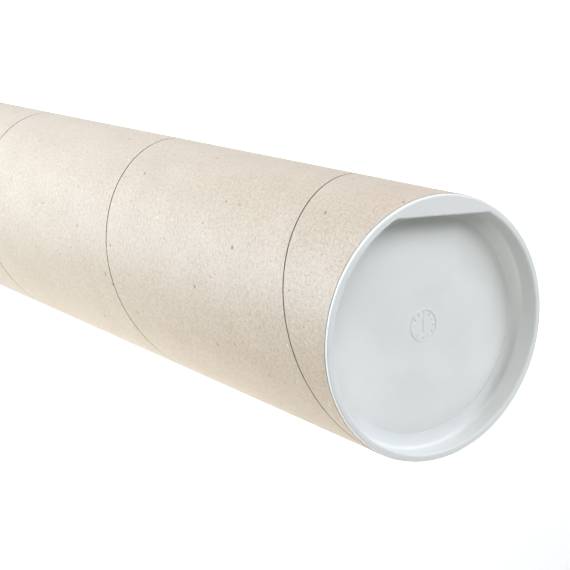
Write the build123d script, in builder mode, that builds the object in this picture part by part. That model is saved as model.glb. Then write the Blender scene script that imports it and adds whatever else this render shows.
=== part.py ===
from build123d import *
import os

os.makedirs("parts", exist_ok=True)

# A spiral-wound mailing tube that stands on one end, closed at both ends by the same push-in cap.
# All sizes are in millimetres. +Z runs up the tube's axis from the ground, and +X points at the
# top cap's pull ledge.

# Tube: kraft plies glued into one wall, cut square.
tube_length = 609.6
tube_bore_radius = 50.8
tube_wall = 2.03
tube_edge_round = 0.3

# Cap flange, which lies on the tube's cut end.
flange_inset = 0.2
flange_thickness = 1.5
flange_top_round = 0.7
flange_under_round = 0.3

# Cap plug: a thin round wall that clears the bore, with beads that grip it.
plug_clearance = 0.3
plug_wall = 0.8
plug_lean = 0.15
plug_corner_round = 1.8
bead_clearance = 0.05
bead_radius = 0.5
bead_count = 2
bead_pitch = 2.4

# Recess, with depths from the flange's face. A sloping band joins the wall to a lower middle panel,
# and a fine step marks the panel's edge.
mouth_round = 0.8
band_depth = 8.1
band_drop = 1.0
band_run = 5.7
band_round = 1.5
step_depth = 0.25
panel_thickness = 1.2

# Pull ledge across one side of the recess's mouth.
ledge_reach = 5.4
ledge_thickness = 1.3
ledge_corner_round = 1.6

# Moulder's date dial on the panel: a ring, twelve ticks and a pointer.
dial_radius = 6.5
dial_ring_width = 0.45
dial_height = 0.2
tick_count = 12
tick_length = 1.2
tick_width = 0.45
pointer_length = 5.0
pointer_width = 0.6
pointer_head = 2.2

# Worked out from the sizes above. Heights in a cap are measured up from its seat, which is where
# its flange lies on the tube's end.
tube_radius = tube_bore_radius + tube_wall
tube_bottom = flange_thickness
tube_top = tube_bottom + tube_length
flange_radius = tube_radius - flange_inset
plug_radius = tube_bore_radius - plug_clearance
mouth_radius = plug_radius - plug_wall
band_radius = mouth_radius - plug_lean
panel_radius = band_radius - band_run
band_height = flange_thickness - band_depth
band_foot = band_height - band_drop
panel_height = band_foot - step_depth
ledge_edge = mouth_radius - ledge_reach
ledge_underside = flange_thickness - ledge_thickness
bead_centre_radius = tube_bore_radius - bead_clearance - bead_radius

# The plug's outside and the recess below the ledge, as (radius, height) corners with their
# roundings, each from the axis at its top to the axis at its bottom.
plug_outline = [
    ((0, flange_thickness), 0),
    ((flange_radius, flange_thickness), flange_top_round),
    ((flange_radius, 0), flange_under_round),
    ((plug_radius, 0), 0),
    ((plug_radius - plug_lean, band_height - panel_thickness), plug_corner_round),
    ((panel_radius, panel_height - panel_thickness), plug_corner_round),
    ((0, panel_height - panel_thickness), 0),
]
recess_outline = [
    ((0, ledge_underside), 0),
    ((mouth_radius, ledge_underside), 0),
    ((band_radius, band_height), band_round),
    ((panel_radius, band_foot), 0),
    ((panel_radius, panel_height), 0),
    ((0, panel_height), 0),
]

# Each cap sits on its end of the tube, and its seat's z axis points out of the tube. The bottom
# cap's ledge is on the other side from the top cap's.
seats = {
    "top_cap": Plane(origin=(0, 0, tube_top), x_dir=(1, 0, 0), z_dir=(0, 0, 1)),
    "bottom_cap": Plane(origin=(0, 0, tube_bottom), x_dir=(-1, 0, 0), z_dir=(0, 0, -1)),
}


def draw_outline(outline):
    """Draw the closed line that an outline describes."""
    FilletPolyline(*[corner for corner, _ in outline], radius=[r for _, r in outline], close=True)


def draw_dial():
    """Sketch the date dial's raised lines."""
    Circle(dial_radius)
    Circle(dial_radius - dial_ring_width, mode=Mode.SUBTRACT)
    with PolarLocations(dial_radius - dial_ring_width - tick_length, tick_count):
        Rectangle(tick_length, tick_width)
    Rectangle(pointer_length, pointer_width)
    with Locations((pointer_length / 2, 0)):
        RegularPolygon(pointer_head / 2, 3)


# The tube is one hollow cylinder, and its cut edges are just broken.
with BuildPart() as tube:
    with BuildSketch(Plane.XY.offset(tube_bottom)):
        Circle(tube_radius)
        Circle(tube_bore_radius, mode=Mode.SUBTRACT)
    extrude(amount=tube_length)
    fillet(tube.edges().filter_by(GeomType.CIRCLE), tube_edge_round)

tube.part.label = "tube"
export_step(tube.part, "parts/tube.step")

for cap_name, seat in seats.items():
    section_plane = Plane(origin=seat.origin, x_dir=seat.x_dir, z_dir=-seat.y_dir)
    cap_axis = Axis(seat.origin, seat.z_dir)

    with BuildPart() as cap:
        # The flange, the plug and its beads, turned as one solid shape.
        with BuildSketch(section_plane):
            with BuildLine():
                draw_outline(plug_outline)
            make_face()
            for bead in range(bead_count):
                with Locations((bead_centre_radius, -bead_pitch * (bead + 1))):
                    Circle(bead_radius)
        revolve(axis=cap_axis)

        # The recess below the ledge is turned out of it.
        with BuildSketch(section_plane):
            with BuildLine():
                draw_outline(recess_outline)
            make_face()
        revolve(axis=cap_axis, mode=Mode.SUBTRACT)

        # The mouth is a round opening, cut short by the straight edge of the pull ledge.
        with BuildSketch(seat.offset(flange_thickness)) as mouth:
            Circle(mouth_radius)
            with Locations((ledge_edge, 0)):
                Rectangle(
                    2 * ledge_reach,
                    2 * mouth_radius,
                    align=(Align.MIN, Align.CENTER),
                    mode=Mode.SUBTRACT,
                )
            fillet(mouth.vertices(), ledge_corner_round)
        extrude(amount=-ledge_thickness, mode=Mode.SUBTRACT)
        rim_face = cap.faces().filter_by(Plane.XY).sort_by(cap_axis)[-1]
        fillet(rim_face.inner_wires()[0].edges(), mouth_round)

        # The dial stands up from the panel.
        with BuildSketch(seat.offset(panel_height)):
            draw_dial()
        extrude(amount=dial_height)

    cap.part.label = cap_name
    export_step(cap.part, f"parts/{cap_name}.step")
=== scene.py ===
import bmesh
import bpy
from math import atan2, ceil, pi, radians
from mathutils import Matrix, Vector, noise


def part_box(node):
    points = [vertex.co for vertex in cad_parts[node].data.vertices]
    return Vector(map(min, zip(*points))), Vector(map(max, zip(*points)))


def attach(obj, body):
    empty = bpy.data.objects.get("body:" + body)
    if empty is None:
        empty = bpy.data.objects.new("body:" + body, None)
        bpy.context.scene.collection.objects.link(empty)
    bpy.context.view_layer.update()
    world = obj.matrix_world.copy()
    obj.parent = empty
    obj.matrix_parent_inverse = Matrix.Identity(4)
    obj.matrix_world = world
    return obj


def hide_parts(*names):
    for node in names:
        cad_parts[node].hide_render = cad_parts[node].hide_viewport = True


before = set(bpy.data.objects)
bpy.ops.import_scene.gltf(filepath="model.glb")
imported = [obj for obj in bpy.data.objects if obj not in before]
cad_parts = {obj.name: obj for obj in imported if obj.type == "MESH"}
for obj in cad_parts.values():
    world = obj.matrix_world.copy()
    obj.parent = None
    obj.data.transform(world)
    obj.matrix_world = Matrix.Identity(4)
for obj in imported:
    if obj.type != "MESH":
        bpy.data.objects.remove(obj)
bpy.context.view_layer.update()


# The tube: strips of recycled kraft paper wound in a spiral on a steel mandrel and glued into one wall.
# The edges of the outermost strip meet in a fine open seam that climbs the tube like a thread, and so
# do those of the liner in the bore. The wound length is then cut square at both ends.
tube_low, tube_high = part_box("tube")[0].z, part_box("tube")[1].z
rim_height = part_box("top_cap")[1].z
tube_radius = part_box("tube")[1].x
tube_wall = 0.00203
bore_radius = tube_radius - tube_wall
mid_wall_radius = bore_radius + tube_wall / 2
ply_thickness = 0.00042
seam_gap = 0.0005
seam_lip = 0.0001
seam_wander = 0.00028
wanders_per_metre = 35
winding_lead = 0.1483
face_seam_drop = 0.0633
liner_seam_drop = 0.0980
steps_per_turn = 288
crisp_edge = radians(25)
weld_distance = 5e-6
same_height = 1e-6
same_radius = 2e-5
skin_depth = 5e-5
cut_margin = 0.01
face_slot, cut_slot, liner_slot, seam_slot = range(4)


def wind_strip(bm, strip_uv, radius, inside, seam_drop):
    """Spin one turn of a strip that lies between two seams, and stack turns past both ends of the tube."""
    start = rim_height - seam_drop
    while start > tube_low - winding_lead:
        start -= winding_lead
    turns = ceil((tube_high - start) / winding_lead) + 1
    half_gap = seam_gap / 2
    corners = (
        (inside, -half_gap),
        (inside, half_gap),
        (radius, half_gap + seam_lip),
        (radius, winding_lead - half_gap - seam_lip),
        (inside, winding_lead - half_gap),
    )
    old_verts, old_edges, old_faces = len(bm.verts), len(bm.edges), len(bm.faces)
    section = [bm.verts.new((reach, 0, start + rise)) for reach, rise in corners]
    section_edges = [bm.edges.new(pair) for pair in zip(section, section[1:])]
    bmesh.ops.spin(
        bm,
        geom=section + section_edges,
        cent=(0, 0, 0),
        axis=(0, 0, 1),
        dvec=(0, 0, winding_lead / steps_per_turn),
        angle=2 * pi,
        steps=steps_per_turn,
    )
    turn_faces = bm.faces[old_faces:]
    whole_turn = bm.verts[old_verts:] + bm.edges[old_edges:] + turn_faces

    # The strip's own length and width go into its UV map, in metres, so that the fibres follow it.
    for face in turn_faces:
        middle = face.calc_center_median()
        turned = atan2(middle.y, middle.x) % (2 * pi)
        for corner in face.loops:
            spot = corner.vert.co
            lean = (atan2(spot.y, spot.x) - turned + pi) % (2 * pi) - pi
            climb = winding_lead * (turned + lean) / (2 * pi)
            corner[strip_uv].uv = (radius * (turned + lean), spot.z - start - climb)

    for turn in range(1, turns):
        copy = bmesh.ops.duplicate(bm, geom=whole_turn)["geom"]
        copy_verts = [part for part in copy if isinstance(part, bmesh.types.BMVert)]
        bmesh.ops.translate(bm, verts=copy_verts, vec=(0, 0, turn * winding_lead))
        for face in (part for part in copy if isinstance(part, bmesh.types.BMFace)):
            for corner in face.loops:
                corner[strip_uv].uv.x += turn * 2 * pi * radius


bm = bmesh.new()
strip_uv = bm.loops.layers.uv.new("strip")
wind_strip(bm, strip_uv, tube_radius, tube_radius - ply_thickness, face_seam_drop)
wind_strip(bm, strip_uv, bore_radius, bore_radius + ply_thickness, liner_seam_drop)
bmesh.ops.remove_doubles(bm, verts=bm.verts, dist=weld_distance)

# The face strip is not slit quite straight, so both lips of its seam wander a little together. Spare
# winding more than a margin below the tube is cut off next, so it is left as it is.
for vert in bm.verts:
    on_face = abs(Vector(vert.co[:2]).length - tube_radius) < same_radius
    if on_face and vert.co.z > tube_low - cut_margin:
        vert.co.z += seam_wander * noise.noise(vert.co * wanders_per_metre)

for height, outward in ((tube_low, -1), (tube_high, 1)):
    bmesh.ops.bisect_plane(
        bm,
        geom=bm.verts[:] + bm.edges[:] + bm.faces[:],
        plane_co=(0, 0, height),
        plane_no=(0, 0, outward),
        clear_outer=True,
    )
    cut_rims = [
        edge
        for edge in bm.edges
        if edge.is_boundary and all(abs(vert.co.z - height) < same_height for vert in edge.verts)
    ]
    cut_face = bmesh.ops.triangle_fill(bm, edges=cut_rims, use_beauty=True, normal=(0, 0, outward))
    for part in cut_face["geom"]:
        if isinstance(part, bmesh.types.BMFace):
            part.material_index = cut_slot

for face in bm.faces:
    if face.material_index == cut_slot:
        continue
    face.smooth = True
    reach = Vector(face.calc_center_median()[:2]).length
    # Faces down in a seam groove take the seam finish: glue brown darkened further with painted shade.
    if bore_radius + skin_depth < reach < tube_radius - skin_depth:
        face.material_index = seam_slot
    else:
        face.material_index = face_slot if reach > mid_wall_radius else liner_slot
for edge in bm.edges:
    edge.smooth = edge.calc_face_angle(0) < crisp_edge
bmesh.ops.recalc_face_normals(bm, faces=bm.faces)
tube_mesh = bpy.data.meshes.new("wound_tube")
bm.to_mesh(tube_mesh)
bm.free()
wound_tube = bpy.data.objects.new("wound_tube", tube_mesh)
bpy.context.collection.objects.link(wound_tube)
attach(wound_tube, "tube")
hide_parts("tube")


def lay(tree, kind, choices=None, feeds=None):
    """Add a node to a material or a group, set its choices and feed its sockets."""
    node = tree.nodes.new(kind)
    for choice, value in (choices or {}).items():
        setattr(node, choice, value)
    for socket, feed in (feeds or {}).items():
        if isinstance(feed, bpy.types.NodeSocket):
            tree.links.new(feed, node.inputs[socket])
        else:
            node.inputs[socket].default_value = feed
    return node


def reckon(tree, operation, first, second=0.0, third=0.0):
    """Do one piece of arithmetic on up to three values or sockets."""
    return lay(tree, "ShaderNodeMath", {"operation": operation}, {0: first, 1: second, 2: third}).outputs[0]


def spread(tree, value, low, high, new_low=0.0, new_high=1.0):
    """Stretch the part of a value between low and high over a new span, with soft ends."""
    feeds = {0: value, 1: low, 2: high, 3: new_low, 4: new_high}
    return lay(tree, "ShaderNodeMapRange", {"interpolation_type": "SMOOTHSTEP"}, feeds).outputs[0]


def blend_colours(tree, share, first, second):
    """Go from the first colour to the second by a share from 0 to 1."""
    return lay(tree, "ShaderNodeMix", {"data_type": "RGBA"}, {0: share, 6: first, 7: second}).outputs[2]


def cloud(tree, where, scale, detail=2.0, roughness=0.5, warp=0.0):
    """Cloudy noise, with about as many clouds to the metre as its scale says."""
    feeds = {"Vector": where, "Scale": scale, "Detail": detail, "Roughness": roughness, "Distortion": warp}
    return lay(tree, "ShaderNodeTexNoise", None, feeds).outputs["Fac"]


def stretch(tree, where, scale):
    """Scale a place along its axes, so that a pattern read there is drawn out."""
    return lay(tree, "ShaderNodeVectorMath", {"operation": "MULTIPLY"}, {0: where, 1: scale}).outputs[0]


def open_group(name, ins, outs):
    """Start a node group with named inputs and outputs."""
    group = bpy.data.node_groups.new(name, "ShaderNodeTree")
    for socket, kind, value in ins:
        made = group.interface.new_socket(socket, in_out="INPUT", socket_type=kind)
        if value is not None:
            made.default_value = value
    for socket, kind in outs:
        group.interface.new_socket(socket, in_out="OUTPUT", socket_type=kind)
    return group, group.nodes.new("NodeGroupInput").outputs, group.nodes.new("NodeGroupOutput").inputs


def place_group(tree, group, feeds):
    """Place a node group in a material and feed its inputs."""
    return lay(tree, "ShaderNodeGroup", {"node_tree": group}, feeds).outputs


def open_material(name):
    """Start a material, and give its tree and the sockets of its shader."""
    material = bpy.data.materials.new(name)
    material.use_nodes = True
    return material, material.node_tree, material.node_tree.nodes["Principled BSDF"].inputs


def raise_bump(tree, finish, strength, depth, height):
    """Turn the shader's normal by the slope of a height, where 1 stands for a depth in metres."""
    bump = lay(tree, "ShaderNodeBump", None, {"Strength": strength, "Distance": depth, "Height": height})
    tree.links.new(bump.outputs[0], finish["Normal"])


# Recycled pulp: cloudy make-up, short matted fibres along the strip, and stray dark and pale flecks.
pulp, pulp_in, pulp_out = open_group(
    "pulp",
    (("Strip", "NodeSocketVector", None), ("Fleck Share", "NodeSocketFloat", 0.1)),
    (
        ("Tone", "NodeSocketFloat"),
        ("Dark Flecks", "NodeSocketFloat"),
        ("Pale Flecks", "NodeSocketFloat"),
        ("Height", "NodeSocketFloat"),
    ),
)
strip_place = pulp_in["Strip"]
make_up = cloud(pulp, strip_place, scale=55, detail=3, roughness=0.55)
matting = cloud(pulp, strip_place, scale=560, detail=3, roughness=0.6, warp=0.4)
grain = cloud(pulp, strip_place, scale=1300, roughness=0.7)
fibres = cloud(pulp, stretch(pulp, strip_place, (0.4, 1, 1)), scale=1700, roughness=0.6, warp=0.8)


def flecks(where, scale, size, ragged, share):
    """Odd specks: in a few cells of a cell pattern, a small ragged spot near the middle."""
    smallest = 0.45 * size
    torn = cloud(pulp, where, scale=9 * scale, roughness=0.6)
    cells = lay(pulp, "ShaderNodeTexVoronoi", {"feature": "F1"}, {"Vector": where, "Scale": scale})
    pick = lay(pulp, "ShaderNodeSeparateColor", None, {0: cells.outputs["Color"]}).outputs
    chosen = reckon(pulp, "LESS_THAN", pick[0], share)
    tear = reckon(pulp, "SUBTRACT", torn, 0.5)
    reach = reckon(pulp, "MULTIPLY_ADD", tear, ragged, cells.outputs["Distance"])
    edge = reckon(pulp, "MULTIPLY_ADD", pick[1], size, smallest)
    spot = spread(pulp, reckon(pulp, "SUBTRACT", edge, reach), low=-0.012, high=0.02)
    mostly_faint = reckon(pulp, "POWER", pick[2], 2)
    depth = reckon(pulp, "MULTIPLY_ADD", mostly_faint, 0.75, 0.25)
    return reckon(pulp, "MULTIPLY", reckon(pulp, "MULTIPLY", spot, chosen), depth)


fleck_share = pulp_in["Fleck Share"]
dark_place = stretch(pulp, strip_place, (0.85, 1, 1))
pale_place = stretch(pulp, strip_place, (0.7, 1, 1))
dark_flecks = flecks(dark_place, scale=210, size=0.11, ragged=0.18, share=fleck_share)
pale_flecks = flecks(pale_place, scale=240, size=0.08, ragged=0.14, share=fleck_share)
pepper = flecks(strip_place, scale=700, size=0.22, ragged=0.5, share=0.4)
salt = flecks(strip_place, scale=610, size=0.17, ragged=0.5, share=0.3)

# What each ingredient adds to the tone, which is then spread out from the darkest pulp to the palest.
tone = 0.0
for ingredient, strength in (
    (make_up, 0.12),
    (matting, 0.32),
    (grain, 0.44),
    (fibres, 0.12),
    (pepper, -0.24),
    (salt, 0.2),
):
    tone = reckon(pulp, "MULTIPLY_ADD", ingredient, strength, tone)
pulp.links.new(spread(pulp, tone, low=0.34, high=0.62), pulp_out["Tone"])
pulp.links.new(dark_flecks, pulp_out["Dark Flecks"])
pulp.links.new(pale_flecks, pulp_out["Pale Flecks"])
height = reckon(pulp, "MULTIPLY_ADD", fibres, 0.6, grain)
height = reckon(pulp, "MULTIPLY_ADD", pale_flecks, 0.4, height)
pulp.links.new(height, pulp_out["Height"])

bark_brown = (0.13, 0.085, 0.055, 1)
bark_strength = 0.8
pale_straw = (0.76, 0.70, 0.60, 1)
straw_strength = 0.55
roughness_change = 0.06
pulp_depth = 0.00012


def paper(name, shade, pale, roughness, relief, fleck_share):
    """Kraft paper that lies along the strip, in one of its shades."""
    material, tree, finish = open_material(name)
    along = lay(tree, "ShaderNodeUVMap", {"uv_map": "strip"}).outputs[0]
    made = place_group(tree, pulp, {"Strip": along, "Fleck Share": fleck_share})
    bark = reckon(tree, "MULTIPLY", made["Dark Flecks"], bark_strength)
    straw = reckon(tree, "MULTIPLY", made["Pale Flecks"], straw_strength)
    colour = blend_colours(tree, made["Tone"], shade, pale)
    colour = blend_colours(tree, bark, colour, bark_brown)
    colour = blend_colours(tree, straw, colour, pale_straw)
    tree.links.new(colour, finish["Base Color"])
    dullness = spread(tree, made["Tone"], 0, 1, new_low=roughness, new_high=roughness + roughness_change)
    tree.links.new(dullness, finish["Roughness"])
    raise_bump(tree, finish, relief, pulp_depth, made["Height"])
    return material


face_paper = paper(
    "kraft_face",
    shade=(0.383, 0.278, 0.186, 1),
    pale=(0.556, 0.438, 0.335, 1),
    roughness=0.36,
    relief=0.34,
    fleck_share=0.5,
)
liner_paper = paper(
    "kraft_liner",
    shade=(0.37, 0.29, 0.205, 1),
    pale=(0.50, 0.41, 0.315, 1),
    roughness=0.6,
    relief=0.5,
    fleck_share=0.2,
)
# The walls and floor of each seam groove are painted dark brown. Part of it is the glue under the strip,
# and part is painted shade inside the narrow groove.
seam_glue_and_shade = paper(
    "seam_glue_and_painted_shade",
    shade=(0.10, 0.068, 0.045, 1),
    pale=(0.20, 0.145, 0.10, 1),
    roughness=0.8,
    relief=0.5,
    fleck_share=0.1,
)

# The cut end shows the plies edge on, with a dark line of glue between them and a little fuzz.
glue_pitch = 0.0004
glue_brown = (0.24, 0.18, 0.125, 1)
glue_strength = 0.6
board_shade = (0.47, 0.39, 0.30, 1)
board_pale = (0.66, 0.58, 0.48, 1)
fuzz_depth = 0.0002
cut_board, tree, finish = open_material("cut_board")
place = lay(tree, "ShaderNodeTexCoord").outputs["Object"]
flat = stretch(tree, place, (1, 1, 0))
reach = lay(tree, "ShaderNodeVectorMath", {"operation": "LENGTH"}, {0: flat}).outputs["Value"]
fuzz = cloud(tree, place, scale=1700, detail=3, roughness=0.6)
stray = reckon(tree, "MULTIPLY", cloud(tree, place, scale=260), 1.6)
plies = reckon(tree, "MULTIPLY_ADD", reach, 2 * pi / glue_pitch, stray)
glue_lines = spread(tree, reckon(tree, "SINE", plies), low=0.3, high=1.0)
colour = blend_colours(tree, fuzz, board_shade, board_pale)
colour = blend_colours(tree, reckon(tree, "MULTIPLY", glue_lines, glue_strength), colour, glue_brown)
tree.links.new(colour, finish["Base Color"])
finish["Roughness"].default_value = 0.85
raise_bump(tree, finish, 0.8, fuzz_depth, reckon(tree, "MULTIPLY_ADD", glue_lines, -0.7, fuzz))
for material in (face_paper, cut_board, liner_paper, seam_glue_and_shade):
    tube_mesh.materials.append(material)


# The end caps: two pushed-in lids from one mould, in white low-density polyethylene. Each has a flange
# that lies on the cut board, a plug with beads that grip the bore, and a ledge to pull it out by.
rubbing, rub_in, rub_out = open_group(
    "rub_marks",
    (("Place", "NodeSocketVector", None), ("Amount", "NodeSocketFloat", 0.5)),
    (("Marks", "NodeSocketFloat"),),
)
scratches = 0.0
for turn_by, scale in ((0.4, 16), (1.9, 23)):
    turned_place = {"Vector": rub_in["Place"], "Angle": turn_by}
    leaned = lay(rubbing, "ShaderNodeVectorRotate", {"rotation_type": "Z_AXIS"}, turned_place).outputs[0]
    wave = cloud(rubbing, stretch(rubbing, leaned, (1, 0.06, 1)), scale=9 * scale, detail=0)
    off_line = reckon(rubbing, "ABSOLUTE", reckon(rubbing, "SUBTRACT", wave, 0.5))
    line = spread(rubbing, off_line, low=0.008, high=0.002)
    patches = cloud(rubbing, rub_in["Place"], scale=1.7 * scale, detail=1)
    where_rubbed = spread(rubbing, patches, low=0.52, high=0.66)
    scratches = reckon(rubbing, "MAXIMUM", reckon(rubbing, "MULTIPLY", line, where_rubbed), scratches)
rubbing.links.new(reckon(rubbing, "MULTIPLY", scratches, rub_in["Amount"]), rub_out["Marks"])

plastic_shade = (0.735, 0.762, 0.758, 1)
plastic_pale = (0.775, 0.802, 0.798, 1)
rubbed_grey = (0.60, 0.62, 0.63, 1)
peel_depth = 0.00012
cap_plastic, tree, finish = open_material("moulded_polyethylene")
place = lay(tree, "ShaderNodeTexCoord").outputs["Object"]
flow = cloud(tree, place, scale=38, warp=0.6)
peel = cloud(tree, place, scale=900)
marks = place_group(tree, rubbing, {"Place": place, "Amount": 1.0})["Marks"]
colour = blend_colours(tree, spread(tree, flow, low=0.3, high=0.7), plastic_shade, plastic_pale)
colour = blend_colours(tree, reckon(tree, "MULTIPLY", marks, 0.12), colour, rubbed_grey)
tree.links.new(colour, finish["Base Color"])
dullness = reckon(tree, "MULTIPLY_ADD", spread(tree, flow, low=0.2, high=0.8), 0.08, 0.56)
tree.links.new(reckon(tree, "MULTIPLY_ADD", marks, 0.2, dullness), finish["Roughness"])
raise_bump(tree, finish, 0.12, peel_depth, reckon(tree, "MULTIPLY_ADD", marks, -0.8, peel))
for cap in ("top_cap", "bottom_cap"):
    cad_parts[cap].material_slots[0].material = cap_plastic


# The studio: a white table that the tube stands on, soft boxes overhead and round the sides, and a camera
# above the top cap. Table and backdrop glow a little to the camera alone, which adds no light to the tube.
table_reach = 5
table_glow = 0.36
room_light = 0.05
backdrop_glow = 0.35
bm = bmesh.new()
bmesh.ops.create_grid(bm, x_segments=1, y_segments=1, size=table_reach)
table_mesh = bpy.data.meshes.new("table")
bm.to_mesh(table_mesh)
bm.free()
table = bpy.data.objects.new("table", table_mesh)
bpy.context.collection.objects.link(table)
table_white, tree, finish = open_material("table_white")
place = lay(tree, "ShaderNodeTexCoord").outputs["Object"]
mottle = cloud(tree, place, scale=3, detail=1)
tree.links.new(blend_colours(tree, mottle, (0.88, 0.88, 0.88, 1), (0.9, 0.9, 0.9, 1)), finish["Base Color"])
finish["Roughness"].default_value = 0.9
finish["Emission Color"].default_value = (1, 1, 1, 1)
seen = lay(tree, "ShaderNodeLightPath").outputs["Is Camera Ray"]
tree.links.new(reckon(tree, "MULTIPLY", seen, table_glow), finish["Emission Strength"])
table_mesh.materials.append(table_white)

rim_centre = Vector((0, 0, rim_height))


def soft_box(name, place, aim, watts, size, colour):
    """Hang a rectangular lamp at a place and turn it towards its aim."""
    lamp = bpy.data.lights.new(name, "AREA")
    lamp.shape = "RECTANGLE"
    lamp.size, lamp.size_y = size
    lamp.energy = watts
    lamp.color = colour
    box = bpy.data.objects.new(name, lamp)
    bpy.context.collection.objects.link(box)
    facing = (Vector(place) - Vector(aim)).to_track_quat("Z", "Y")
    box.matrix_world = Matrix.Translation(place) @ facing.to_matrix().to_4x4()


soft_box("right_overhead", (1.0, -1.1, 1.6), rim_centre, 27.8, (0.9, 0.9), (0.91, 0.938, 1))
soft_box("front_overhead", (1.0, 1.1, 1.6), rim_centre, 14.8, (0.9, 0.9), (1, 0.975, 0.95))
soft_box("back_overhead", (-1.3, 0, 1.7), rim_centre, 8.8, (0.8, 0.8), (1, 1, 0.94))
soft_box("front_side", (0.636, 0.636, 0.32), (0, 0, 0.32), 7.3, (0.6, 0.6), (0.66, 0.83, 1))
soft_box("side", (0, 0.9, 0.35), (0, 0, 0.35), 1.9, (0.6, 0.6), (0.84, 0.93, 1))
soft_box("low_side", (0.154, 0.423, 0.12), (0, 0, 0.12), 1.5, (0.3, 0.4), (0.57, 0.775, 1))
soft_box("back_low", (-0.41, 0.14, 0.43), (0, 0, 0.43), 0.88, (0.2, 0.2), (0.94, 1, 0.96))
soft_box("back_strip", (-0.591, -0.104, 0.40), (0, 0, 0.40), 2.5, (0.2, 0.3), (0.94, 1, 0.96))

world = bpy.data.worlds.new("studio")
bpy.context.scene.world = world
world.use_nodes = True
backdrop = world.node_tree.nodes["Background"].inputs
backdrop["Color"].default_value = (1, 1, 1, 1)
seen = lay(world.node_tree, "ShaderNodeLightPath").outputs["Is Camera Ray"]
glow = reckon(world.node_tree, "MULTIPLY_ADD", seen, backdrop_glow, room_light)
world.node_tree.links.new(glow, backdrop["Strength"])

eye = rim_centre + tube_radius * Vector((2.4398, 6.9108, 8.2679))
aim = rim_centre + tube_radius * Vector((0.4527, 1.3620, 0))
image_up = Vector((0.9803, -0.0858, -0.1780))
back = (eye - aim).normalized()
right = image_up.cross(back).normalized()
camera = bpy.data.cameras.new("camera")
camera.lens = 95.2
camera_stand = bpy.data.objects.new("camera", camera)
bpy.context.collection.objects.link(camera_stand)
turned = Matrix((right, back.cross(right), back)).transposed()
camera_stand.matrix_world = Matrix.Translation(eye) @ turned.to_4x4()
bpy.context.scene.camera = camera_stand
bpy.context.scene.view_settings.view_transform = "Standard"
